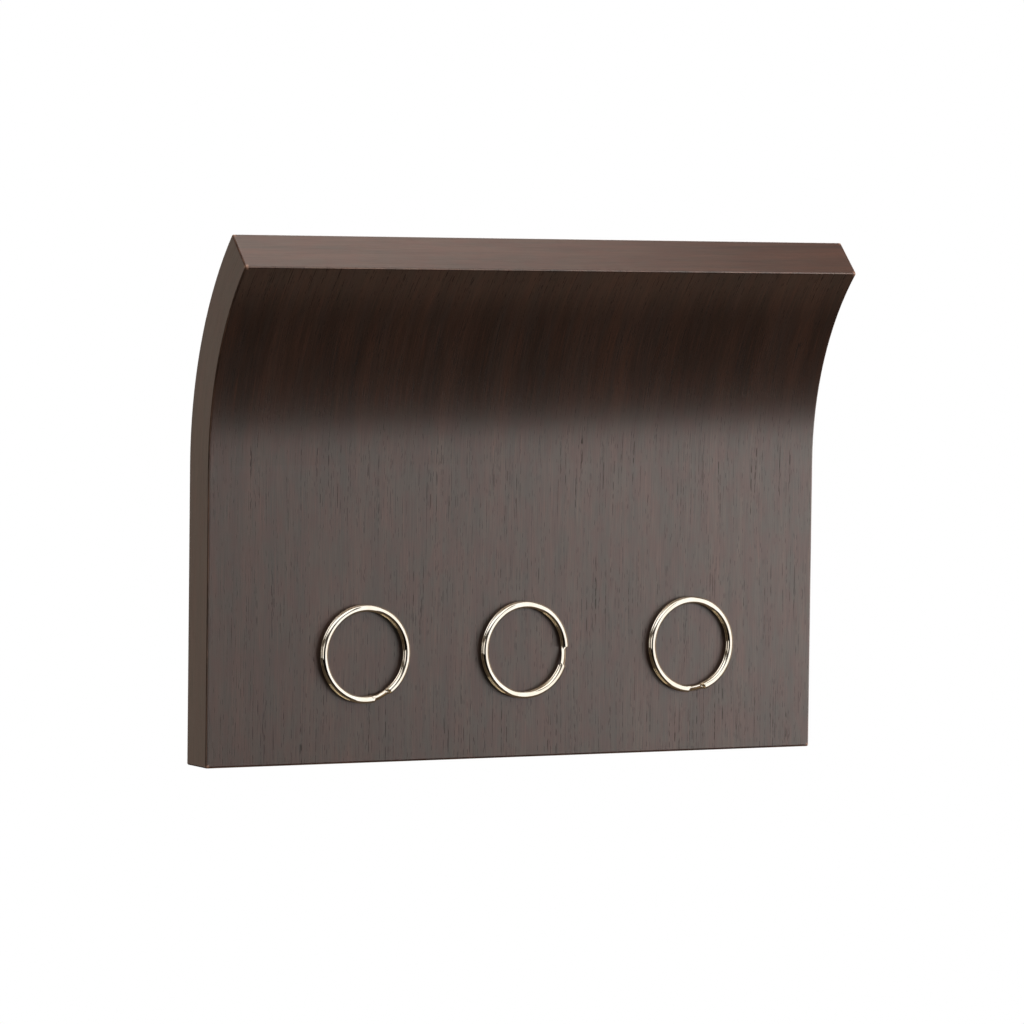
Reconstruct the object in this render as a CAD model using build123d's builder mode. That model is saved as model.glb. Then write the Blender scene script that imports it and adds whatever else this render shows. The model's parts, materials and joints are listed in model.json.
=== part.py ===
from build123d import *
import os
from math import cos, radians, sin

# A wall-hung key and letter rack. A veneered, moulded board stands flat against the wall, and its
# upper part bends forward into a lip that holds letters behind it. Disc magnets hidden in the flat
# part hold three steel split rings on the front.
#
# Frame, in millimetres: +X to the viewer's right, +Y into the wall, +Z up. The origin is on the
# board's flat back, midway between the entry holes of the two keyhole hangers.

# Board
WIDTH = 273.0
THICKNESS = 18.0
FLAT_HEIGHT = 117.5
LIP_INSIDE_RADIUS = 109.0
LIP_ANGLE = 45.0
VENEER = 0.6
EDGE_EASE = 0.8
CUT_OVERRUN = 2.0

# Keyhole hangers, measured from the entry hole's centre where a height is given
HANGER_HEIGHT = 88.0
HANGER_SPACING = 203.2
HANGER_LENGTH = 44.0
HANGER_WIDTH = 16.0
HANGER_GAUGE = 1.6
HANGER_RISE = 4.0
ENTRY_DIAMETER = 9.5
NECK_WIDTH = 4.6
NECK_RISE = 9.0
HANGER_SCREW_SPREAD = 35.0
SHEET_CLEARANCE = 0.3
HEAD_POCKET_LENGTH = 22.0
HEAD_POCKET_WIDTH = 12.0
HEAD_POCKET_DEPTH = 9.6
HANGER_EDGE = 0.3

# Countersunk screws that hold the hangers
SCREW_LENGTH = 9.5
SCREW_CREST_RADIUS = 1.45
SCREW_ROOT_RADIUS = 1.0
SCREW_HEAD_RADIUS = 2.8
SCREW_HEAD_HEIGHT = 1.7
SCREW_PITCH = 1.1
SCREW_THREADS = 6
SCREW_NECK = 0.4
SCREW_SINK = 0.1
RECESS_LENGTH = 2.4
RECESS_WIDTH = 0.55
RECESS_DEPTH = 0.9
RECESS_TAPER = 12.0
PILOT_RADIUS = 1.5

# Magnet stations
MAGNET_SPACING = 75.0
MAGNET_HEIGHT = 60.0
MAGNET_RADIUS = 12.5
MAGNET_THICKNESS = 5.0
BACKING_THICKNESS = 2.0
MAGNET_SKIN = 2.0
GLUE_GAP = 0.1
MAGNET_EDGE = 0.4
BACKING_EDGE = 0.2
PLUG_EDGE = 0.8

# Wall pads
PAD_RADIUS = 5.0
PAD_THICKNESS = 1.5
PAD_INSET = 14.0
PAD_HEIGHTS = (14.0, 104.0)
PAD_EDGE = 0.5

# Split rings, of flattened wire with an oval section. Each has its centre across the board, its
# centre above the board's bottom edge, and the clockwise angle from the top, seen from the front,
# of the middle of its crossover.
RING_OUTSIDE_RADIUS = 19.45
WIRE_WIDTH = 2.7
WIRE_THICKNESS = 1.25
COIL_PITCH = 1.3
CROSSOVER_ANGLE = 22.0
CROSSOVER_STEPS = 6
END_GAP_ANGLE = 1.2
RING_CLEARANCE = 0.05
RINGS = {
    "left": (-68.6, 43.1, 157.0),
    "middle": (2.5, 43.1, 100.0),
    "right": (79.0, 43.5, 172.5),
}

# Worked out from the above
BOTTOM = -HANGER_HEIGHT
LIP_START = BOTTOM + FLAT_HEIGHT
BACK_RADIUS = LIP_INSIDE_RADIUS + THICKNESS
MAGNET_Z = BOTTOM + MAGNET_HEIGHT
POCKET_DEPTH = THICKNESS - MAGNET_SKIN
POCKET_RADIUS = MAGNET_RADIUS + GLUE_GAP
RING_MEAN_RADIUS = RING_OUTSIDE_RADIUS - WIRE_WIDTH / 2
BACK_COIL_Y = -(THICKNESS + RING_CLEARANCE + WIRE_THICKNESS / 2)
FRONT_COIL_Y = BACK_COIL_Y - COIL_PITCH
MAGNET_X = {"left": -MAGNET_SPACING, "middle": 0.0, "right": MAGNET_SPACING}
HANGER_X = {"left": -HANGER_SPACING / 2, "right": HANGER_SPACING / 2}
HANGER_SCREW_Z = (HANGER_RISE - HANGER_SCREW_SPREAD / 2, HANGER_RISE + HANGER_SCREW_SPREAD / 2)

# The lip's end face is square to the sheet. This plane lies parallel to it, one veneer inside it.
LIP_TANGENT = Vector(0, -sin(radians(LIP_ANGLE)), cos(radians(LIP_ANGLE)))
LIP_CENTRE = Vector(0, -BACK_RADIUS, LIP_START)
LIP_CUT = Plane(origin=LIP_CENTRE + LIP_TANGENT * (-VENEER), x_dir=(1, 0, 0), z_dir=LIP_TANGENT)


def write(part, name):
    """Labels a finished piece and writes its STEP file."""
    part.label = name
    export_step(part, f"parts/{name}.step")


def sheet_outline(near, far, overrun=0.0):
    """Side view of the bent sheet between two depths, measured forward from its flat back."""
    centre = (-BACK_RADIUS, LIP_START)
    end_angle = LIP_ANGLE + overrun
    foot = BOTTOM - overrun
    with BuildSketch() as outline:
        with BuildLine():
            Line((-near, foot), (-near, LIP_START))
            back_bend = CenterArc(centre, BACK_RADIUS - near, 0, end_angle)
            front_bend = CenterArc(centre, BACK_RADIUS - far, 0, end_angle)
            Line(back_bend @ 1, front_bend @ 1)
            Line((-far, LIP_START), (-far, foot))
            Line((-far, foot), (-near, foot))
        make_face()
    return outline.sketch


def screw_profile():
    """Half section of one screw, its head's flat top at zero and its point below."""
    points = [(0, 0), (SCREW_HEAD_RADIUS, 0), (SCREW_ROOT_RADIUS, -SCREW_HEAD_HEIGHT)]
    for turn in range(SCREW_THREADS):
        depth = -(SCREW_HEAD_HEIGHT + SCREW_NECK + turn * SCREW_PITCH)
        points.append((SCREW_ROOT_RADIUS, depth))
        points.append((SCREW_CREST_RADIUS, depth - SCREW_PITCH * 0.4))
        points.append((SCREW_ROOT_RADIUS, depth - SCREW_PITCH * 0.8))
    points.append((0, -SCREW_LENGTH))
    with BuildSketch() as profile:
        with BuildLine():
            Polyline(*points, close=True)
        make_face()
    return profile.sketch


def wire_plane(centre_x, centre_z, turn, depth, rise=0.0):
    """Cross-section plane of a ring's wire, at a clockwise angle from the top and a place along Y.

    The plane's X points outward from the ring's centre. A rise tips it as the wire climbs forward.
    """
    angle = radians(turn)
    outward = Vector(sin(angle), 0, cos(angle))
    along = Vector(cos(angle), -rise, -sin(angle))
    place = Vector(centre_x, depth, centre_z) + outward * RING_MEAN_RADIUS
    return Plane(origin=place, x_dir=outward, z_dir=along)


def coil(centre_x, centre_z, depth, first, last):
    """One level stretch of wire between two clockwise angles."""
    with BuildPart() as stretch:
        with BuildSketch(wire_plane(centre_x, centre_z, first, depth)):
            Ellipse(WIRE_WIDTH / 2, WIRE_THICKNESS / 2)
        revolve(axis=Axis((centre_x, 0, centre_z), (0, 1, 0)), revolution_arc=last - first)
    return stretch.part


def crossover(centre_x, centre_z, first):
    """The short stretch where the wire climbs from the back coil to the front coil."""
    arc_length = radians(CROSSOVER_ANGLE) * RING_MEAN_RADIUS
    with BuildPart() as stretch:
        for step in range(CROSSOVER_STEPS + 1):
            share = step / CROSSOVER_STEPS
            depth = BACK_COIL_Y - COIL_PITCH * share * share * (3 - 2 * share)
            rise = COIL_PITCH * 6 * share * (1 - share) / arc_length
            turn = first + CROSSOVER_ANGLE * share
            with BuildSketch(wire_plane(centre_x, centre_z, turn, depth, rise)):
                Ellipse(WIRE_WIDTH / 2, WIRE_THICKNESS / 2)
        loft()
    return stretch.part


os.makedirs("parts", exist_ok=True)

# Everything bored or routed into the back: magnet pockets, hanger recesses, pockets for the wall
# screws' heads, and pilot holes
with BuildPart() as back_cuts:
    with BuildSketch(Plane.XZ):
        with Locations(*[(x, MAGNET_Z) for x in MAGNET_X.values()]):
            Circle(POCKET_RADIUS)
    extrude(amount=POCKET_DEPTH)
    with BuildSketch(Plane.XZ):
        with Locations(*[(x, HANGER_RISE) for x in HANGER_X.values()]):
            SlotOverall(HANGER_LENGTH + SHEET_CLEARANCE, HANGER_WIDTH + SHEET_CLEARANCE, rotation=90)
    extrude(amount=HANGER_GAUGE + GLUE_GAP)
    with BuildSketch(Plane.XZ):
        with Locations(*[(x, HANGER_RISE) for x in HANGER_X.values()]):
            SlotOverall(HEAD_POCKET_LENGTH, HEAD_POCKET_WIDTH, rotation=90)
    extrude(amount=HEAD_POCKET_DEPTH)
    with BuildSketch(Plane.XZ):
        with Locations(*[(x, z) for x in HANGER_X.values() for z in HANGER_SCREW_Z]):
            Circle(PILOT_RADIUS)
    extrude(amount=SCREW_LENGTH + GLUE_GAP)

# Board: one eased blank, then its layers are taken from it, so the easing runs over every seam
with BuildPart() as blank:
    with BuildSketch(Plane.YZ):
        add(sheet_outline(0, THICKNESS))
    extrude(amount=WIDTH / 2, both=True)
    fillet(blank.edges(), EDGE_EASE)

with BuildPart() as front_veneer:
    add(blank.part)
    with BuildSketch(Plane.YZ):
        add(sheet_outline(THICKNESS - VENEER, THICKNESS + 1, overrun=CUT_OVERRUN))
    extrude(amount=WIDTH, both=True, mode=Mode.INTERSECT)
write(front_veneer.part, "front_veneer")

with BuildPart() as back_veneer:
    add(blank.part)
    with BuildSketch(Plane.YZ):
        add(sheet_outline(-1, VENEER, overrun=CUT_OVERRUN))
    extrude(amount=WIDTH, both=True, mode=Mode.INTERSECT)
    add(back_cuts.part, mode=Mode.SUBTRACT)
write(back_veneer.part, "back_veneer")

with BuildPart() as middle:
    add(blank.part)
    with BuildSketch(Plane.YZ):
        add(sheet_outline(VENEER, THICKNESS - VENEER, overrun=CUT_OVERRUN))
    extrude(amount=WIDTH, both=True, mode=Mode.INTERSECT)

with BuildPart() as edge_band_top:
    add(middle.part)
    split(bisect_by=LIP_CUT, keep=Keep.TOP)
write(edge_band_top.part, "edge_band_top")

with BuildPart() as edge_band_bottom:
    add(middle.part)
    split(bisect_by=Plane.XY.offset(BOTTOM + VENEER), keep=Keep.BOTTOM)
write(edge_band_bottom.part, "edge_band_bottom")

with BuildPart() as between_bands:
    add(middle.part)
    split(bisect_by=LIP_CUT, keep=Keep.BOTTOM)
    split(bisect_by=Plane.XY.offset(BOTTOM + VENEER), keep=Keep.TOP)

with BuildPart() as edge_band_left:
    add(between_bands.part)
    split(bisect_by=Plane.YZ.offset(VENEER - WIDTH / 2), keep=Keep.BOTTOM)
write(edge_band_left.part, "edge_band_left")

with BuildPart() as edge_band_right:
    add(between_bands.part)
    split(bisect_by=Plane.YZ.offset(WIDTH / 2 - VENEER), keep=Keep.TOP)
write(edge_band_right.part, "edge_band_right")

with BuildPart() as moulded_core:
    add(between_bands.part)
    split(bisect_by=Plane.YZ.offset(VENEER - WIDTH / 2), keep=Keep.TOP)
    split(bisect_by=Plane.YZ.offset(WIDTH / 2 - VENEER), keep=Keep.BOTTOM)
    add(back_cuts.part, mode=Mode.SUBTRACT)
write(moulded_core.part, "moulded_core")

# Magnet stations: in each pocket, from the front, a magnet, a steel backing disc and a plug
BACKING_DEPTH = POCKET_DEPTH - GLUE_GAP - MAGNET_THICKNESS
PLUG_DEPTH = BACKING_DEPTH - GLUE_GAP - BACKING_THICKNESS - GLUE_GAP
for side, x in MAGNET_X.items():
    with BuildPart() as magnet:
        with BuildSketch(Plane.XZ.offset(BACKING_DEPTH)):
            with Locations((x, MAGNET_Z)):
                Circle(MAGNET_RADIUS)
        extrude(amount=MAGNET_THICKNESS)
        fillet(magnet.edges().filter_by(GeomType.CIRCLE), MAGNET_EDGE)
    write(magnet.part, f"magnet_{side}")

    with BuildPart() as backing:
        with BuildSketch(Plane.XZ.offset(BACKING_DEPTH - GLUE_GAP - BACKING_THICKNESS)):
            with Locations((x, MAGNET_Z)):
                Circle(MAGNET_RADIUS)
        extrude(amount=BACKING_THICKNESS)
        chamfer(backing.edges().filter_by(GeomType.CIRCLE), BACKING_EDGE)
    write(backing.part, f"magnet_backing_{side}")

    with BuildPart() as plug:
        with BuildSketch(Plane.XZ):
            with Locations((x, MAGNET_Z)):
                Circle(MAGNET_RADIUS)
        extrude(amount=PLUG_DEPTH)
        chamfer(plug.edges().filter_by(GeomType.CIRCLE).sort_by(Axis.Y)[0], PLUG_EDGE)
    write(plug.part, f"magnet_plug_{side}")

# Keyhole hangers, let in flush with the back, and their screws
for side, x in HANGER_X.items():
    with BuildPart() as hanger:
        with BuildSketch(Plane.XZ):
            with Locations((x, HANGER_RISE)):
                SlotOverall(HANGER_LENGTH, HANGER_WIDTH, rotation=90)
            with Locations((x, 0)):
                Circle(ENTRY_DIAMETER / 2, mode=Mode.SUBTRACT)
            with Locations((x, NECK_RISE / 2)):
                SlotOverall(NECK_RISE + NECK_WIDTH, NECK_WIDTH, rotation=90, mode=Mode.SUBTRACT)
        extrude(amount=HANGER_GAUGE)
        rims = hanger.faces().sort_by(Axis.Y)[-1].outer_wire().edges()
        fillet(rims, HANGER_EDGE)
        with Locations(*[Plane((x, 0, z), x_dir=(1, 0, 0), z_dir=(0, 1, 0)) for z in HANGER_SCREW_Z]):
            CounterSinkHole(
                SCREW_CREST_RADIUS + SCREW_SINK,
                SCREW_HEAD_RADIUS + SCREW_SINK,
                counter_sink_angle=90,
            )
    write(hanger.part, f"keyhole_hanger_{side}")

    with BuildPart() as screws:
        for z in HANGER_SCREW_Z:
            with BuildSketch(Plane((x, -SCREW_SINK, z), x_dir=(1, 0, 0), z_dir=(0, 0, 1))):
                add(screw_profile())
            revolve(axis=Axis((x, -SCREW_SINK, z), (0, 1, 0)))
            with BuildSketch(Plane((x, -SCREW_SINK, z), x_dir=(1, 0, 0), z_dir=(0, -1, 0))):
                Rectangle(RECESS_LENGTH, RECESS_WIDTH)
                Rectangle(RECESS_WIDTH, RECESS_LENGTH)
            extrude(amount=RECESS_DEPTH, taper=RECESS_TAPER, mode=Mode.SUBTRACT)
    write(screws.part, f"hanger_screws_{side}")

# Pads that keep the board off the wall
for row, height in zip(("lower", "upper"), PAD_HEIGHTS):
    for side, sign in (("left", -1), ("right", 1)):
        with BuildPart() as pad:
            with BuildSketch(Plane.XZ):
                with Locations((sign * (WIDTH / 2 - PAD_INSET), BOTTOM + height)):
                    Circle(PAD_RADIUS)
            extrude(amount=-PAD_THICKNESS)
            fillet(pad.edges().filter_by(GeomType.CIRCLE).sort_by(Axis.Y)[-1], PAD_EDGE)
        write(pad.part, f"wall_pad_{row}_{side}")

# Split rings: the wire winds once at the back, crosses over and winds once at the front. The last
# half turn of the front coil is the springy end that is prised open, so it is its own piece.
for side, (centre_x, height, crossing) in RINGS.items():
    centre_z = BOTTOM + height
    climb_start = crossing - CROSSOVER_ANGLE / 2
    climb_end = crossing + CROSSOVER_ANGLE / 2
    flex_turn = crossing + 180
    tip_turn = climb_start + 360 - END_GAP_ANGLE

    with BuildPart() as ring:
        add(coil(centre_x, centre_z, BACK_COIL_Y, climb_end + END_GAP_ANGLE, climb_start + 360))
        add(crossover(centre_x, centre_z, climb_start))
        add(coil(centre_x, centre_z, FRONT_COIL_Y, climb_end, flex_turn))
    write(ring.part, f"split_ring_{side}")

    with BuildPart() as free_end:
        add(coil(centre_x, centre_z, FRONT_COIL_Y, flex_turn, tip_turn))
    write(free_end.part, f"split_ring_{side}_free_end")
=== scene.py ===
import json
import math
from collections import namedtuple

import bmesh
import bpy
from mathutils import Matrix, Vector


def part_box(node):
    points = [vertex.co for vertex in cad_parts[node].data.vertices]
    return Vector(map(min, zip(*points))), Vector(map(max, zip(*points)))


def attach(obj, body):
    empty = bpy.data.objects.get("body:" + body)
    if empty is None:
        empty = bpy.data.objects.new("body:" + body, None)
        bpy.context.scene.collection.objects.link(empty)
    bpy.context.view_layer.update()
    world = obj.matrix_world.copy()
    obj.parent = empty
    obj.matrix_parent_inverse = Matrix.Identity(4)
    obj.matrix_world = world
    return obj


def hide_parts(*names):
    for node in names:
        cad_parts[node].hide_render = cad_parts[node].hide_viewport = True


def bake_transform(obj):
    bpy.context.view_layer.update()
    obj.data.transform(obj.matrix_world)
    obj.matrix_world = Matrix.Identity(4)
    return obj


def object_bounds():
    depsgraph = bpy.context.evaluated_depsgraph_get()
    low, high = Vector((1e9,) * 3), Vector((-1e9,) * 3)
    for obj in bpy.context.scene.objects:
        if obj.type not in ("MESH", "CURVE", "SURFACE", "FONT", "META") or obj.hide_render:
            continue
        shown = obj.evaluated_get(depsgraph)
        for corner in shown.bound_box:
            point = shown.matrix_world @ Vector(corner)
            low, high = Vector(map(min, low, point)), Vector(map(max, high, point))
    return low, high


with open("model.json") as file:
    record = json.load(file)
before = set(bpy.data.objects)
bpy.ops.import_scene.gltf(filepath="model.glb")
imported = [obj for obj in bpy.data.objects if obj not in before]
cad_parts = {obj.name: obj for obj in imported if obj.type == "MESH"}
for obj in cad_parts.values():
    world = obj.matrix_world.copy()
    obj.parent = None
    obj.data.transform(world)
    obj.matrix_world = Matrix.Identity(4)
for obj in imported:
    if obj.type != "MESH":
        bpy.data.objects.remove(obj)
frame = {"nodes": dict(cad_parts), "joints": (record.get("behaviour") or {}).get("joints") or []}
cad_low, cad_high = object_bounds()

MM = 1000.0  # millimetres in a metre: materials are worked out in millimetres, all else in metres
WHITE = (1.0, 1.0, 1.0)

# The board's side section: its flat back is y = 0, and above FLAT_HEIGHT it bends forward by LIP_ANGLE
BOARD_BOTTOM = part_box("edge_band_bottom")[0].z
HALF_WIDTH = cad_high.x
THICKNESS = 0.018
FLAT_HEIGHT = 0.1175
FRONT_RADIUS = 0.109
MIDDLE_RADIUS = FRONT_RADIUS + THICKNESS / 2
BACK_RADIUS = FRONT_RADIUS + THICKNESS
BEND_Z = BOARD_BOTTOM + FLAT_HEIGHT
LIP_ANGLE = math.radians(45)
SHEET_TOP = BEND_Z + LIP_ANGLE * MIDDLE_RADIUS


# ---------------------------------------------------------------- shader building
# A Mix node's sockets for colours, by number, because their names repeat
MIX_FACTOR, MIX_A, MIX_B, MIX_RESULT = 0, 6, 7, 2


class Shader:
    """Builds one node material, a socket at a time."""

    def __init__(self, name):
        self.material = bpy.data.materials.new(name)
        self.material.use_nodes = True
        self.tree = self.material.node_tree
        self.surface = self.tree.nodes["Principled BSDF"]

    def node(self, kind, **settings):
        made = self.tree.nodes.new("ShaderNode" + kind)
        for key, value in settings.items():
            setattr(made, key, value)
        return made

    def feed(self, socket, value):
        """Gives a socket another node's output, a number, or a colour of three numbers."""
        if isinstance(value, bpy.types.NodeSocket):
            self.tree.links.new(value, socket)
        else:
            socket.default_value = (*value, 1.0) if socket.type == "RGBA" else value

    def feed_all(self, made, *values):
        """Feeds a node's first inputs in turn, and gives back its first output."""
        for socket, value in zip(made.inputs, values):
            self.feed(socket, value)
        return made.outputs[0]

    def math(self, operation, *values):
        return self.feed_all(self.node("Math", operation=operation), *values)

    def add(self, a, b):
        return self.math("ADD", a, b)

    def mul(self, a, b):
        return self.math("MULTIPLY", a, b)

    def scale(self, value, low, high, out_low=0.0, out_high=1.0, curve="LINEAR"):
        """Turns low to high into out_low to out_high, and holds what lies beyond."""
        made = self.node("MapRange", interpolation_type=curve)
        return self.feed_all(made, value, low, high, out_low, out_high)

    def fade(self, *settings):
        """As scale, but it eases in and out."""
        return self.scale(*settings, curve="SMOOTHSTEP")

    def vector(self, *values):
        return self.feed_all(self.node("CombineXYZ"), *values)

    def noise(self, place, rates, detail=2.0, rough=0.5, shift=0.0):
        """Noise at a place of three sockets, each times its rate per millimetre, the last one shifted."""
        x, y, z = (self.mul(value, rate) for value, rate in zip(place, rates))
        made = self.node("TexNoise")
        self.feed(made.inputs["Vector"], self.vector(x, y, self.add(z, shift)))
        made.inputs["Scale"].default_value = 1.0
        made.inputs["Detail"].default_value = detail
        made.inputs["Roughness"].default_value = rough
        return made.outputs["Fac"]

    def cells(self, vector):
        """Scattered cells: the distance to the nearest one's middle, and a random number for that cell."""
        made = self.node("TexVoronoi")
        self.feed(made.inputs["Vector"], vector)
        made.inputs["Scale"].default_value = 1.0
        return made.outputs["Distance"], self.feed_all(self.node("SeparateColor"), made.outputs["Color"])

    def mix(self, factor, a, b, blend="MIX"):
        made = self.node("Mix", data_type="RGBA", blend_type=blend)
        for number, value in ((MIX_FACTOR, factor), (MIX_A, a), (MIX_B, b)):
            self.feed(made.inputs[number], value)
        return made.outputs[MIX_RESULT]

    def place(self):
        """The point's place in the object's frame, in millimetres, as three sockets."""
        split = self.node("SeparateXYZ")
        self.feed(split.inputs[0], self.node("TexCoord").outputs["Object"])
        return [self.mul(out, MM) for out in split.outputs]

    def bump(self, height, distance, strength):
        made = self.node("Bump")
        self.feed(made.inputs["Height"], height)
        made.inputs["Distance"].default_value = distance
        made.inputs["Strength"].default_value = strength
        self.feed(self.surface.inputs["Normal"], made.outputs[0])

    def finish(self, **values):
        for key, value in values.items():
            self.feed(self.surface.inputs[key.replace("_", " ")], value)
        return self.material


def sheet_place(s):
    """A point in the bent sheet, unrolled flat: across, depth forward from the back, and rise."""
    x, y, z = s.place()
    above_bend = s.math("MAXIMUM", s.add(z, -BEND_Z * MM), 0.0)
    behind_axis = s.add(y, BACK_RADIUS * MM)
    turn = s.math("ARCTAN2", above_bend, behind_axis)
    radius = s.math("SQRT", s.add(s.mul(behind_axis, behind_axis), s.mul(above_bend, above_bend)))
    depth = s.add(s.mul(radius, -1.0), BACK_RADIUS * MM)
    rise = s.add(s.math("MINIMUM", z, BEND_Z * MM), s.mul(turn, MIDDLE_RADIUS * MM))
    return x, depth, rise


# ---------------------------------------------------------------- wood
STAIN_DEEP = (0.0205, 0.0110, 0.0070)
STAIN_WARM = (0.041, 0.0200, 0.0125)
STAIN_RED = (0.085, 0.036, 0.022)
STAIN_GREY = (0.029, 0.0205, 0.0165)
STAIN_DARK = (0.0155, 0.0088, 0.0058)
PORE_DARK = (0.006, 0.0045, 0.004)
# Pale wood on the eased edges: partly wear, partly a painted highlight on their crowns and on the corners'
# tips
PALE_WEAR_AND_HIGHLIGHT = (0.24, 0.14, 0.095)
GLINT_COOL = (0.92, 1.0, 0.98)
GLINT_WARM = (1.0, 0.94, 0.93)

# The grain's slow sway: its rates per millimetre across and along, and its reach in millimetres
SWAY_RATES = (0.012, 0.009, 0.0)
SWAY_REACH = 3.5

# Layers of figure: width and run in millimetres, offset in the noise, noise detail and roughness
FIGURE = {
    "band": (11.0, 220.0, 3.1, 2.0, 0.55),
    "tint": (6.0, 55.0, 21.0, 3.0, 0.6),
    "streak": (1.9, 60.0, 7.7, 3.0, 0.6),
    "fibre": (0.45, 16.0, 13.0, 3.0, 0.65),
    "hair": (0.32, 24.0, 61.0, 2.0, 0.5),
    "vessel": (0.42, 50.0, 31.0, 1.0, 0.55),
    "dash": (0.8, 4.2, 41.0, 1.0, 0.55),
    "mottle": (5.0, 14.0, 71.0, 3.0, 0.6),
}

# Stains over the ground, in order: the layer, where in it the stain starts and is full, and how full
STAINS = (
    ("tint", 0.42, 0.66, 0.7, STAIN_GREY),
    ("streak", 0.4, 0.75, 0.35, STAIN_DARK),
    ("fibre", 0.42, 0.70, 0.6, STAIN_DARK),
    ("hair", 0.52, 0.72, 0.3, STAIN_RED),
)

# Short single pores: each lies in a cell of this width and run, out to this distance from its middle,
# and only in cells whose random number is above this
PORE_WIDTH, PORE_RUN, PORE_OFFSET = 0.55, 6.0, 51.0
PORE_DISTANCE = (0.14, 0.24)
PORE_CHANCE = (0.62, 0.7)

# Pale wear and painted highlight on the eased edges: millimetres in from two faces, or from three, where it
# is full and where gone
CROWN_WEAR_AND_HIGHLIGHT = (0.22, 0.62)
TIP_WEAR_AND_HIGHLIGHT = (0.7, 1.8)
TIP_WEAR_AND_HIGHLIGHT_STRENGTH = 0.8
WEAR_HIGHLIGHT_PATCH_RATES = (0.05, 0.4, 0.05)

LACQUER_ROUGHNESS = (0.325, 0.355)
LACQUER_SHEEN = (0.525, 0.475)
LACQUER_STREAKING = 0.6
PORE_ROUGHNESS = 0.2
PORE_DULLING = 0.45
PORE_DEPTH = 0.00003


def edge_wear_and_highlight(s, x, depth, rise):
    """Two masks: 1 on the crown of the eased edges, and 1 on the corners' tips, where pale wear and a
    painted edge highlight go.
    """
    def below(value, limit):
        return s.add(s.mul(value, -1.0), limit)

    in_x = below(s.math("ABSOLUTE", x), HALF_WIDTH * MM)
    in_depth = s.math("MINIMUM", depth, below(depth, THICKNESS * MM))
    in_rise = s.math("MINIMUM", s.add(rise, -BOARD_BOTTOM * MM), below(rise, SHEET_TOP * MM))
    low = s.math("MINIMUM", in_x, in_depth)
    high = s.math("MAXIMUM", in_x, in_depth)
    middle = s.math("MAXIMUM", low, s.math("MINIMUM", high, in_rise))
    farthest = s.math("MAXIMUM", high, in_rise)
    return s.fade(middle, *CROWN_WEAR_AND_HIGHLIGHT, 1.0, 0.0), s.fade(farthest, *TIP_WEAR_AND_HIGHLIGHT, 1.0, 0.0)


def wood_figure(s, across, length, seed):
    """The layers of FIGURE, each as a socket."""
    return {
        name: s.noise((across, length, 0.0), (1 / width, 1 / run, 0.0), detail, rough, seed + offset)
        for name, (width, run, offset, detail, rough) in FIGURE.items()
    }


def open_pores(s, figure, across, length, seed):
    """A mask of fine vessel lines broken into dashes, with a few short single pores between them."""
    line = s.fade(figure["vessel"], 0.60, 0.68)
    broken = s.fade(figure["dash"], 0.44, 0.56)
    cell = s.vector(s.mul(across, 1 / PORE_WIDTH), s.mul(length, 1 / PORE_RUN), seed + PORE_OFFSET)
    distance, chance = s.cells(cell)
    single = s.mul(s.fade(distance, *PORE_DISTANCE, 1.0, 0.0), s.fade(chance, *PORE_CHANCE))
    return s.math("MAXIMUM", s.mul(line, broken), single)


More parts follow.
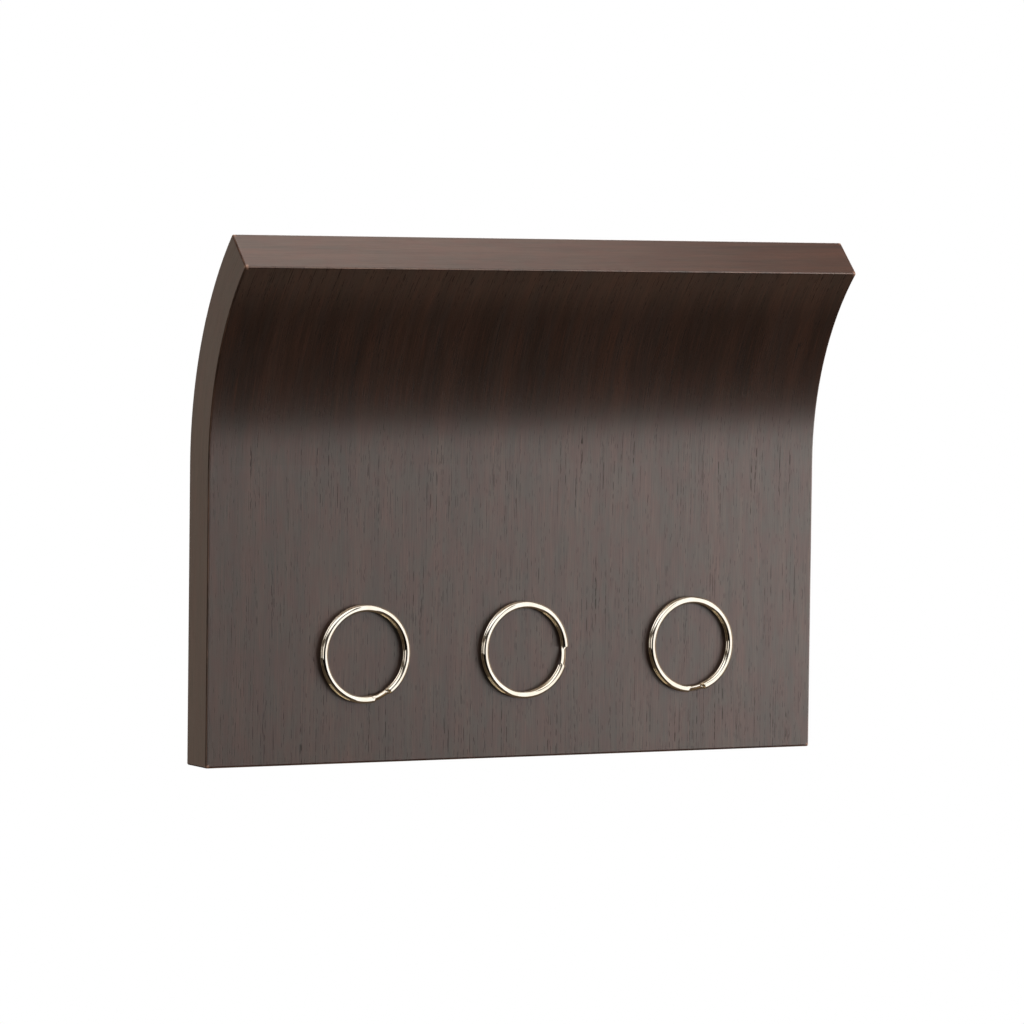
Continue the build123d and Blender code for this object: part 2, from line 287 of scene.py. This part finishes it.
def wood(name, seed, along="rise", pores=1.0, warmth=0.0, painted_shade_factor=1.0, gloss=1.0):
    """Dark-stained open-pored veneer under satin lacquer.

    along says how the grain runs: up the sheet, up a side face or along an end face. pores and warmth
    are the strength of its pores and of its red streaks, its shade factor darkens the whole colour as
    painted shade, and gloss is the strength of the lacquer's reflections.
    """
    s = Shader(name)
    x, depth, rise = sheet_place(s)
    across, length = {"rise": (x, rise), "side": (depth, rise), "end": (depth, x)}[along]
    sway = s.noise((across, length, 0.0), SWAY_RATES, shift=seed)
    across = s.add(across, s.mul(sway, SWAY_REACH))
    figure = wood_figure(s, across, length, seed)
    pore = s.mul(open_pores(s, figure, across, length, seed), pores)

    base = s.mix(s.scale(figure["band"], 0.36, 0.64), STAIN_DEEP, STAIN_WARM)
    for layer, start, full, strength, colour in STAINS:
        base = s.mix(s.scale(figure[layer], start, full, 0.0, strength), base, colour)
    base = s.mix(s.scale(figure["streak"], 0.35, 0.7, warmth, warmth * 0.35), base, STAIN_RED)
    base = s.mix(s.mul(pore, 0.7), base, PORE_DARK)
    # Painted shade: the whole colour darkened by the shade factor; it makes the front veneer darker than
    # the other veneers, standing in for the shade on its bent lip
    base = s.mix(1.0, base, (painted_shade_factor, painted_shade_factor, painted_shade_factor), "MULTIPLY")

    # Pale edges: partly wear, partly a painted highlight on the crowns of the eased edges and on the
    # corners' tips
    crown_wear_highlight, tip = edge_wear_and_highlight(s, x, depth, rise)
    wear_highlight_patch = s.noise((x, depth, rise), WEAR_HIGHLIGHT_PATCH_RATES, 4.0, 0.65, seed)
    crown_wear_highlight = s.mul(crown_wear_highlight, s.scale(wear_highlight_patch, 0.4, 0.65, 0.05, 0.5))
    base = s.mix(s.math("MAXIMUM", crown_wear_highlight, s.mul(tip, TIP_WEAR_AND_HIGHLIGHT_STRENGTH)), base, PALE_WEAR_AND_HIGHLIGHT)

    fibre = figure["fibre"]
    rough = s.add(s.scale(fibre, 0.25, 0.75, *LACQUER_ROUGHNESS), s.mul(pore, PORE_ROUGHNESS))
    sheen = s.mul(s.scale(figure["tint"], 0.35, 0.7, *LACQUER_SHEEN), s.scale(fibre, 0.3, 0.7, 1.06, 0.93))
    sheen = s.mul(sheen, s.add(s.mul(pore, -PORE_DULLING * gloss), gloss))
    s.bump(s.add(s.mul(fibre, 0.3), s.mul(pore, -1.0)), PORE_DEPTH, 0.4)
    return s.finish(
        Base_Color=base,
        Roughness=rough,
        Specular_IOR_Level=sheen,
        Specular_Tint=s.mix(s.scale(figure["mottle"], 0.4, 0.6), GLINT_COOL, GLINT_WARM),
        Anisotropic=LACQUER_STREAKING,
        Tangent=s.vector(1.0, 0.0, 0.0) if along == "rise" else s.vector(0.0, 1.0, 0.0),
    )


PLY = 1.4  # one ply's thickness in millimetres
PLY_PALE, PLY_WARM = (0.44, 0.30, 0.19), (0.30, 0.19, 0.11)
PLY_CROSSED = (0.22, 0.135, 0.08)
GLUE_LINE = (0.05, 0.03, 0.02)


def plywood():
    """Raw moulded plywood: thin plies with their grain crossed, seen in the routed pockets."""
    s = Shader("raw_plywood")
    x, depth, rise = sheet_place(s)
    plies = s.mul(depth, 1 / PLY)
    layer = s.math("FLOOR", plies)
    crossed = s.math("MODULO", s.math("ABSOLUTE", layer), 2.0)
    along_up = s.noise((x, layer, rise), (1.4, 3.3, 0.05), 4.0, 0.6)
    along_x = s.noise((x, layer, rise), (0.05, 3.3, 1.4), 4.0, 0.6)
    grain = s.mix(crossed, s.vector(along_up, along_up, along_up), s.vector(along_x, along_x, along_x))
    base = s.mix(s.scale(along_up, 0.3, 0.7), PLY_WARM, PLY_PALE)
    base = s.mix(s.mul(crossed, 0.45), base, PLY_CROSSED)
    base = s.mix(s.fade(s.math("FRACT", plies), 0.04, 0.12, 0.7, 0.0), base, GLUE_LINE)
    s.bump(grain, 0.00005, 0.5)
    return s.finish(Base_Color=base, Roughness=s.scale(along_x, 0.3, 0.7, 0.65, 0.85))


PLUG_DARK, PLUG_WARM = (0.055, 0.028, 0.018), (0.13, 0.07, 0.045)
PLUG_FIBRE = (0.03, 0.017, 0.012)


def plug_wood(seed):
    """The plugs that close the magnet pockets: side-grain wood, oiled dark."""
    s = Shader(f"plug_wood_{seed}")
    place = s.place()
    grain = s.noise(place, (1.6, 0.4, 0.06), 4.0, 0.6, seed * 9.0)
    fibre = s.noise(place, (6.0, 1.0, 0.3), shift=seed)
    base = s.mix(s.scale(grain, 0.3, 0.7), PLUG_DARK, PLUG_WARM)
    base = s.mix(s.scale(fibre, 0.5, 0.75, 0.0, 0.6), base, PLUG_FIBRE)
    s.bump(fibre, 0.00004, 0.5)
    return s.finish(Base_Color=base, Roughness=s.scale(grain, 0.3, 0.7, 0.55, 0.7))


# ---------------------------------------------------------------- metal and rubber
CLOUD_RATES = (0.1, 0.1, 0.1)
SCRATCH_RATES = (2.2, 2.2, 0.25)
RUBBER_DARK, RUBBER_PALE = (0.018, 0.018, 0.019), (0.045, 0.044, 0.043)
DUST = (0.11, 0.105, 0.10)


def metal(name, dark, bright, rough, fineness, wear=0.25, scratch_depth=0.00001):
    """Plated steel: cloudy colour, fine scratches and a little uneven polish."""
    s = Shader(name)
    place = s.place()
    cloud = s.noise(place, [rate * fineness for rate in CLOUD_RATES], 4.0, 0.6)
    scratch = s.noise(place, [rate * fineness for rate in SCRATCH_RATES], 3.0, 0.7)
    base = s.mix(s.scale(cloud, 0.3, 0.7), dark, bright)
    base = s.mix(s.scale(scratch, 0.6, 0.8, 0.0, wear), base, tuple(part * 0.5 for part in dark))
    s.bump(scratch, scratch_depth, 0.4)
    polish = s.scale(cloud, 0.3, 0.7, rough * 0.8, rough * 1.3)
    scuff = s.scale(scratch, 0.5, 0.8, 0.0, rough * 0.4)
    return s.finish(Base_Color=base, Roughness=s.add(polish, scuff), Metallic=1.0)


def rubber():
    """Matte elastomer with fine dust in its surface."""
    s = Shader("pad_rubber")
    place = s.place()
    speck = s.noise(place, (4.0, 4.0, 4.0), 5.0, 0.7)
    dust = s.noise(place, (0.35, 0.35, 0.35), 3.0)
    base = s.mix(s.scale(speck, 0.35, 0.75), RUBBER_DARK, RUBBER_PALE)
    base = s.mix(s.scale(dust, 0.5, 0.75, 0.0, 0.3), base, DUST)
    s.bump(speck, 0.00006, 0.7)
    return s.finish(Base_Color=base, Roughness=s.scale(speck, 0.3, 0.7, 0.72, 0.92))


def give(material, *nodes):
    """Replaces the materials of CAD nodes with one finished material."""
    for node in nodes:
        mesh = frame["nodes"][node].data
        mesh.materials.clear()
        mesh.materials.append(material)


def finish_board():
    """Gives every CAD node that shows as it is its material."""
    # Painted shade: the front veneer's colour is darkened overall, standing in for the shade on its bent
    # lip
    give(wood("veneer_front", 2.0, painted_shade_factor=0.80, gloss=1.065), "front_veneer")
    give(wood("veneer_back", 57.0), "back_veneer")
    give(wood("band_left", 5.0, "side", pores=0.2), "edge_band_left")
    give(wood("band_right", 9.0, "side", pores=0.2), "edge_band_right")
    give(wood("band_top", 15.0, "end", pores=0.15, warmth=0.35), "edge_band_top")
    give(wood("band_bottom", 25.0, "end", pores=0.15), "edge_band_bottom")
    give(plywood(), "moulded_core")
    zinc = metal("zinc_plate", (0.50, 0.50, 0.49), (0.66, 0.66, 0.64), 0.32, 1.0)
    screw_zinc = metal("screw_zinc", (0.42, 0.42, 0.41), (0.60, 0.59, 0.56), 0.36, 2.0)
    nickel = metal("magnet_nickel", (0.60, 0.58, 0.54), (0.72, 0.70, 0.66), 0.2, 1.0)
    pad = rubber()
    for number, side in enumerate(("left", "middle", "right"), 1):
        give(nickel, f"magnet_{side}")
        give(zinc, f"magnet_backing_{side}")
        give(plug_wood(number), f"magnet_plug_{side}")
    for side in ("left", "right"):
        give(zinc, f"keyhole_hanger_{side}")
        give(screw_zinc, f"hanger_screws_{side}")
        give(pad, f"wall_pad_lower_{side}", f"wall_pad_upper_{side}")


# ---------------------------------------------------------------- split rings
WIRE_WIDTH = 0.0027
WIRE_THICKNESS = 0.00125
WIRE_POWER = 2.1  # the oval section's power: 2 would be an ellipse, and more is boxier
SECTION_POINTS = 40
COIL_PITCH = 0.0013

CROSSOVER = math.radians(22)
CROSSOVER_WAIST = 0.14
CROSSOVER_TWIST = math.radians(15)
CLIMB_STEEPNESS = 1.12  # above 1, the climb starts and ends a little inside the crossover
WAIST_START, WAIST_END = 0.1, 0.06  # shares of the crossover over which the wire narrows and widens
END_GAP = math.radians(1.2)
END_EASE = ((0.0, 0.86), (0.00005, 0.955), (0.00013, 1.0))  # inset from the cut end, and size there

BACK_STEPS, CROSSOVER_STEPS, FRONT_STEPS, FREE_STEPS = 150, 40, 70, 90
FULL_TURN = 2 * math.pi

RING_DARK, RING_BRIGHT = (0.76, 0.63, 0.45), (0.83, 0.73, 0.57)

# A ring's centre, the mean radius of its wire, the depths of its coils, and the turns where its
# crossover starts and ends, its springy half is rooted and its free tip is. Turns run clockwise from
# the top, as seen from the front.
Ring = namedtuple("Ring", "x z radius back_y front_y climb_start climb_end root tip")

# A place along a wire: its turn, its depth, its share of the full section, and its twist
Station = namedtuple("Station", "turn depth size twist")


def ring_from_frame(side):
    """Measures one ring in the frame."""
    low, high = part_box(f"split_ring_{side}")
    x, z = (low.x + high.x) / 2, (low.z + high.z) / 2
    back_y = high.y - WIRE_THICKNESS / 2
    hinge = next(joint["pos_m"] for joint in frame["joints"] if joint["name"] == f"{side}_ring_spread")
    root = math.atan2(hinge[0] - x, hinge[2] - z) % FULL_TURN
    climb_start = root - math.pi - CROSSOVER / 2
    return Ring(
        x=x,
        z=z,
        radius=(high.x - low.x) / 2 - WIRE_WIDTH / 2,
        back_y=back_y,
        front_y=back_y - COIL_PITCH,
        climb_start=climb_start,
        climb_end=climb_start + CROSSOVER,
        root=root,
        tip=climb_start + FULL_TURN - END_GAP,
    )


def on_ring(ring, turn, depth, inset=0.0):
    """A point that far in from the ring's mean circle."""
    reach = ring.radius - inset
    return Vector((ring.x + math.sin(turn) * reach, depth, ring.z + math.cos(turn) * reach))


def wire_section():
    """The wire's outline across the ring (first number) and along the ring's axis (second)."""
    outline = []
    for step in range(SECTION_POINTS):
        angle = FULL_TURN * step / SECTION_POINTS
        across, along = math.cos(angle), math.sin(angle)
        bulge = (abs(across) ** WIRE_POWER + abs(along) ** WIRE_POWER) ** (-1 / WIRE_POWER)
        outline.append((across * bulge * WIRE_WIDTH / 2, along * bulge * WIRE_THICKNESS / 2))
    return outline


def station_loop(built, ring, station, outline):
    """The outline's vertices at one station."""
    turn, depth, size, twist = station
    middle = on_ring(ring, turn, depth, (1 - size) * WIRE_WIDTH / 2)
    out = Vector((math.sin(turn), 0, math.cos(turn)))
    back = Vector((0, 1, 0))
    side = (out * math.cos(twist) + back * math.sin(twist)) * size
    rear = (back * math.cos(twist) - out * math.sin(twist)) * size
    return [built.verts.new(middle + side * across + rear * along) for across, along in outline]


def sweep_wire(name, ring, path, material):
    """A closed wire along a path of stations, smooth but for its cut ends."""
    outline = wire_section()
    built = bmesh.new()
    loops = [station_loop(built, ring, station, outline) for station in path]
    for first, second in zip(loops, loops[1:]):
        for i in range(SECTION_POINTS):
            j = (i + 1) % SECTION_POINTS
            built.faces.new((first[i], first[j], second[j], second[i])).smooth = True
    for loop in (loops[0][::-1], loops[-1]):
        for edge in built.faces.new(loop).edges:
            edge.smooth = False
    bmesh.ops.recalc_face_normals(built, faces=built.faces)
    mesh = bpy.data.meshes.new(name)
    built.to_mesh(mesh)
    built.free()
    mesh.materials.append(material)
    made = bpy.data.objects.new(name, mesh)
    bpy.context.scene.collection.objects.link(made)
    return made


def arc(first, last, depth, steps):
    """Stations of full section from one turn to another."""
    return [Station(first + (last - first) * i / steps, depth, 1.0, 0.0) for i in range(steps + 1)]


def eased_end(ring, station, way):
    """Stations in place of a path's end one, drawn in as a sheared and tumbled end is."""
    return [
        station._replace(turn=station.turn + way * inset / ring.radius, size=size)
        for inset, size in END_EASE
    ]


def crossover(ring):
    """The climb from the back coil to the front one, where the wire is drawn in and twisted outward."""
    path = []
    for step in range(1, CROSSOVER_STEPS):
        share = step / CROSSOVER_STEPS
        climb = min(max((share - 0.5) * CLIMB_STEEPNESS + 0.5, 0.0), 1.0)
        drawn_in = min(share / WAIST_START, (1 - share) / WAIST_END, 1.0)
        path.append(Station(
            turn=ring.climb_start + CROSSOVER * share,
            depth=ring.back_y - COIL_PITCH * climb,
            size=1.0 - CROSSOVER_WAIST * drawn_in,
            twist=CROSSOVER_TWIST * drawn_in,
        ))
    return path


def build_ring(side, material):
    """A ring's two pieces of wire: the fixed one, and the springy half from its root to its free tip, built
    as a piece of its own.
    """
    ring = ring_from_frame(side)
    start = ring.climb_end + END_GAP - FULL_TURN
    path = arc(start, ring.climb_start, ring.back_y, BACK_STEPS)
    path = eased_end(ring, path[0], 1) + path[1:] + crossover(ring)
    path += arc(ring.climb_end, ring.root, ring.front_y, FRONT_STEPS)
    fixed = sweep_wire(f"ring_wire_{side}", ring, path, material)
    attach(fixed, f"{side}_ring")
    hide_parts(f"split_ring_{side}")

    path = arc(ring.root, ring.tip, ring.front_y, FREE_STEPS)
    path = path[:-1] + eased_end(ring, path[-1], -1)[::-1]
    free = sweep_wire(f"ring_free_end_{side}", ring, path, material)
    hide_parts(f"split_ring_{side}_free_end")
    start, end = (tuple(on_ring(ring, turn, ring.front_y)) for turn in (ring.root, ring.tip))
    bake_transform(free)
    return [fixed, free]


finish_board()
ring_metal = metal("ring_nickel", RING_DARK, RING_BRIGHT, 0.035, 1.2, wear=0.12, scratch_depth=0.000004)
ring_wires = [wire for side in ("left", "middle", "right") for wire in build_ring(side, ring_metal)]


# ---------------------------------------------------------------- studio
FLOOR_DROP = 0.85
FLOOR_HALF = 30.0
FLOOR_DIM = (0.035, 0.032, 0.03)
ROOM_GLOW = 0.07


def backdrop_material():
    """A pale floor: white to the camera, dim in the lacquer's reflections, and clear from below."""
    s = Shader("pale_floor")
    glow = s.feed_all(s.node("Emission"), WHITE, 1.0)
    dim = s.feed_all(s.node("BsdfDiffuse"), FLOOR_DIM)
    seen = s.node("LightPath").outputs["Is Camera Ray"]
    above = s.feed_all(s.node("MixShader"), seen, dim, glow)
    under = s.node("NewGeometry").outputs["Backfacing"]
    clear = s.node("BsdfTransparent").outputs[0]
    both = s.feed_all(s.node("MixShader"), under, above, clear)
    s.feed(s.tree.nodes["Material Output"].inputs["Surface"], both)
    return s.material


def lay_floor():
    """The floor lies well below the board, so that it never hides or touches it."""
    mesh = bpy.data.meshes.new("floor")
    around = ((-1, -1), (1, -1), (1, 1), (-1, 1))
    corners = [(x * FLOOR_HALF, y * FLOOR_HALF, BOARD_BOTTOM - FLOOR_DROP) for x, y in around]
    mesh.from_pydata(corners, [], [(0, 1, 2, 3)])
    mesh.materials.append(backdrop_material())
    floor = bpy.data.objects.new("floor", mesh)
    bpy.context.scene.collection.objects.link(floor)


def light_world():
    """A room that is white to the camera and lights the object only faintly."""
    world = bpy.data.worlds.new("studio")
    bpy.context.scene.world = world
    world.use_nodes = True
    tree = world.node_tree
    seen = tree.nodes.new("ShaderNodeLightPath")
    strength = tree.nodes.new("ShaderNodeMapRange")
    tree.links.new(seen.outputs["Is Camera Ray"], strength.inputs["Value"])
    strength.inputs["To Min"].default_value = ROOM_GLOW
    strength.inputs["To Max"].default_value = 1.0
    background = tree.nodes["Background"]
    background.inputs["Color"].default_value = (*WHITE, 1.0)
    tree.links.new(strength.outputs[0], background.inputs["Strength"])


# What a light reaches: all there is, the board with its fittings, or the rings alone
ALL, BOARD, RINGS = "all", "board", "rings"


def limit_reach(light, reach):
    """Keeps a light to the rings, or off them."""
    receivers = bpy.data.collections.new(f"{light.name}_reach")
    for wire in ring_wires:
        receivers.objects.link(wire)
    if reach == BOARD:
        for entry in receivers.collection_objects:
            entry.light_linking.link_state = "EXCLUDE"
    light.light_linking.receiver_collection = receivers


def softbox(name, place, target, size, radiance, colour, reach):
    """A rectangular area light, hidden from the camera, with its brightness as radiance."""
    data = bpy.data.lights.new(name, "AREA")
    data.shape = "RECTANGLE"
    data.size, data.size_y = size
    data.energy = radiance * math.pi * size[0] * size[1]
    data.color = colour
    made = bpy.data.objects.new(name, data)
    made.location = place
    made.rotation_mode = "QUATERNION"
    made.rotation_quaternion = (Vector(target) - Vector(place)).to_track_quat("-Z", "Y")
    made.visible_camera = False
    bpy.context.scene.collection.objects.link(made)
    if reach != ALL:
        limit_reach(made, reach)


def panel(name, bearings, elevations, distance, *look):
    """A softbox that stands upright round the board, between two bearings and two elevations."""
    left, right = (math.radians(bearing) for bearing in bearings)
    bottom, top = (distance * math.tan(math.radians(elevation)) for elevation in elevations)
    middle = (left + right) / 2
    place = (distance * math.sin(middle), -distance * math.cos(middle), (bottom + top) / 2)
    size = (2 * distance * math.tan((right - left) / 2), top - bottom)
    softbox(name, place, (0, 0, place[2]), size, *look)


ROSE = (1.0, 0.885, 0.855)
WARM = (1.0, 0.93, 0.90)
SOFT_WARM = (1.0, 0.95, 0.92)
COOL = (0.95, 1.02, 1.18)
LAMP = (1.0, 0.90, 0.68)

# Bearings in degrees to the right of straight ahead, elevations in degrees, distance, radiance, colour
BOARD_PANELS = (
    ("right_box", (22, 66), (-13.3, 26), 1.95, 2.83, ROSE, BOARD),
    ("right_box_core", (43, 66), (-12.3, 24), 1.9, 6.05, ROSE, BOARD),
    ("side_box", (64, 115), (-15, 30), 1.9, 2.0, WARM, BOARD),
    ("left_box", (-88, -42), (-30, 30), 2.5, 0.12, (1.0, 0.86, 0.72), ALL),
    ("camera_box", (-42, -5), (-12, 8), 2.6, 1.6, SOFT_WARM, BOARD),
    ("upper_left_box", (-30, 10), (24, 40), 2.0, 1.5, WARM, BOARD),
    ("upper_right_box", (12, 66), (26, 50), 1.95, 1.7, WARM, BOARD),
    ("rear_box", (130, 184), (-12, 46), 2.2, 3.4, SOFT_WARM, ALL),
)

# Place, the point that the box faces, width and height, radiance, colour
BOARD_BOXES = (
    ("front_overhead_box", (-0.12, -0.80, 1.40), (0, 0, 0.05), (1.2, 0.55), 7.8, (1.0, 0.88, 0.83), BOARD),
    ("overhead_box", (0.27, -0.08, 1.5), (0, 0, 0.05), (1.3, 1.0), 2.6, (1.0, 0.89, 0.83), BOARD),
    ("rear_left_card", (-0.85, 1.45, 0.1), (0, 0, 0.05), (1.7, 1.6), 0.88, (1.0, 0.75, 0.60), ALL),
    ("under_card", (0.42, 0.12, -0.72), (0.42, 0.12, 0), (1.2, 0.75), 0.43, (1.0, 0.62, 0.44), BOARD),
)

# The boxes that the polished wire mirrors
RING_PANELS = (
    ("ring_front_left", (-38, -8), (-8, 5), 2.6, 1.25, (0.95, 1.0, 1.12), RINGS),
    ("ring_right", (22, 56), (-26, 23), 1.9, 1.45, COOL, RINGS),
    ("ring_upper_left", (-50, -8), (16, 46), 1.9, 1.65, COOL, RINGS),
    ("ring_upper_middle", (-8, 17), (8, 46), 1.9, 1.65, COOL, RINGS),
    ("ring_upper_right", (17, 42), (24, 43), 1.9, 1.4, COOL, RINGS),
    ("ring_side", (58, 120), (-40, 40), 1.9, 0.22, (1.0, 0.70, 0.42), RINGS),
)

# The dim ceiling and table round the wire, and a bright strip of that table
RING_BOXES = (
    ("ring_ceiling", (0, 0, 1.5), (0, 0, 0), (3.8, 3.8), 0.10, (1.0, 0.68, 0.36), RINGS),
    ("ring_table", (0, 0, -0.7), (0, 0, 0), (3.8, 3.8), 0.05, (1.0, 0.78, 0.50), RINGS),
    ("ring_table_strip", (-0.27, -0.04, -0.69), (-0.27, -0.04, 0), (0.5, 0.35), 1.3, LAMP, RINGS),
)

lay_floor()
light_world()
for panels, boxes in ((BOARD_PANELS, BOARD_BOXES), (RING_PANELS, RING_BOXES)):
    for settings in panels:
        panel(*settings)
    for settings in boxes:
        softbox(*settings)


# ---------------------------------------------------------------- camera
CAMERA_AZIMUTH = math.radians(27.949)  # to the left of straight ahead
CAMERA_ELEVATION = math.radians(2.768)
CAMERA_ROLL = math.radians(0.683)
CAMERA_DISTANCE = 2.13812
TARGET_HEIGHT = 0.095  # above the board's bottom edge
SENSOR_MM, LENS_MM = 36.0, 187.04
LENS_SHIFT = (0.01354, 0.00554)


def place_camera():
    """The camera stands to the viewer's left of the board, slightly above its middle."""
    target = Vector((0, 0, BOARD_BOTTOM + TARGET_HEIGHT))
    ahead = Vector((
        math.sin(CAMERA_AZIMUTH) * math.cos(CAMERA_ELEVATION),
        math.cos(CAMERA_AZIMUTH) * math.cos(CAMERA_ELEVATION),
        -math.sin(CAMERA_ELEVATION),
    ))
    right = Vector((math.cos(CAMERA_AZIMUTH), -math.sin(CAMERA_AZIMUTH), 0))
    up = right.cross(ahead)
    rolled_right = right * math.cos(CAMERA_ROLL) + up * math.sin(CAMERA_ROLL)
    rolled_up = up * math.cos(CAMERA_ROLL) - right * math.sin(CAMERA_ROLL)
    turn = Matrix((rolled_right, rolled_up, -ahead)).transposed().to_4x4()
    data = bpy.data.cameras.new("camera")
    data.sensor_width = SENSOR_MM
    data.lens = LENS_MM
    data.shift_x, data.shift_y = LENS_SHIFT
    data.clip_start, data.clip_end = 0.01, 100.0
    camera = bpy.data.objects.new("camera", data)
    camera.matrix_world = Matrix.Translation(target - ahead * CAMERA_DISTANCE) @ turn
    bpy.context.scene.collection.objects.link(camera)
    bpy.context.scene.camera = camera


place_camera()
bpy.context.scene.view_settings.view_transform = "Standard"
